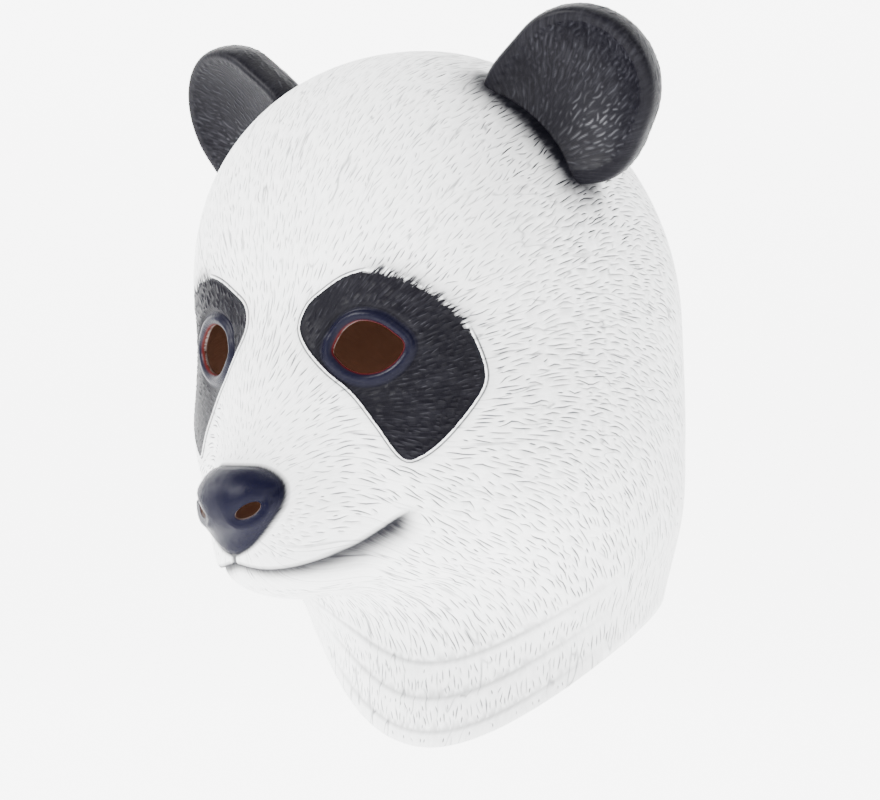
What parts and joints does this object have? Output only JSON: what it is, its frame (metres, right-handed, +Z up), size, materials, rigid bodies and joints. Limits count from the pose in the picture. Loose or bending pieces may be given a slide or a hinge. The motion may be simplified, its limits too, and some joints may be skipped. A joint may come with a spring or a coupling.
{
  "type": "panda mask",
  "caption": "Over-the-head panda mask: thin hollow latex skin with a muzzle, eye holes, nostrils, cupped ears and banded neck, pulled down over the wearer's head.",
  "frame": {"origin": "on the inside of the crown, where the mask sits on a head; the crown's outer top is one wall above it", "axes": "+Z up, the face looks along -Y, +X to the wearer's left"},
  "size_m": [0.2962, 0.2901, 0.3504],
  "materials": {
    "white_latex": "painted white latex, satin, with engraved grey fur strokes",
    "black_latex": "painted black latex, satin"
  },
  "bodies": {
    "root": {"head_skin": "white_latex", "ear_left": "black_latex", "ear_right": "black_latex"}
  },
  "joints": []
}
